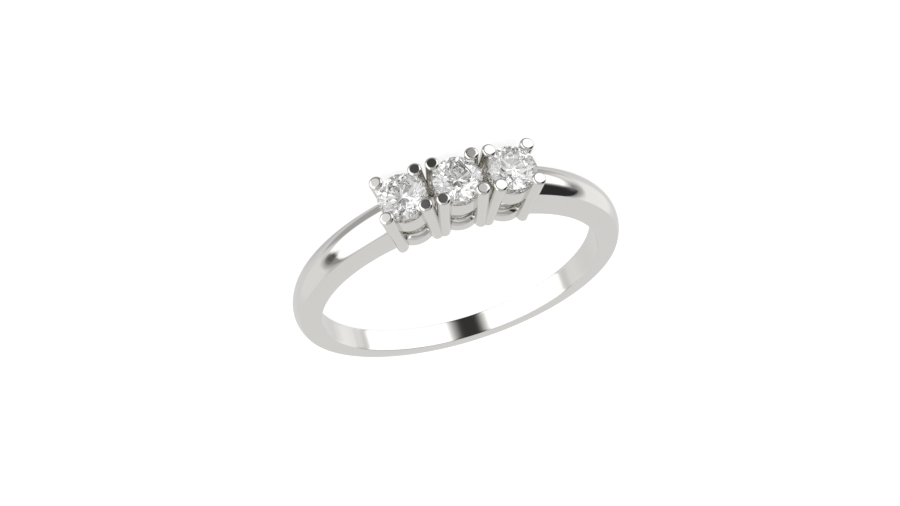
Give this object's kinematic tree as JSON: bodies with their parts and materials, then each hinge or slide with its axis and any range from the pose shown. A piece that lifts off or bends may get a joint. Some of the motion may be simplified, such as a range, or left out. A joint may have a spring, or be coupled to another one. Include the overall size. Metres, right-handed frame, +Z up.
{
  "type": "three stone ring",
  "caption": "Finger ring lying on its side: a domed, tapering white metal shank with a row of four-prong heads, each holding a round brilliant cut stone.",
  "frame": {"origin": "on the floor the ring lies on, under the middle of its outline", "axes": "+Z up from the floor, close to the finger hole's axis, which leans 2.3 degrees from it; -Y towards the heads; +X across the row of heads"},
  "size_m": [0.02, 0.0222, 0.003],
  "materials": {
    "white_gold": "mirror polished",
    "stone": "cut and polished"
  },
  "bodies": {
    "root": {"shank_and_heads": "white_gold", "stone_left": "stone", "stone_centre": "stone", "stone_right": "stone"}
  },
  "joints": []
}
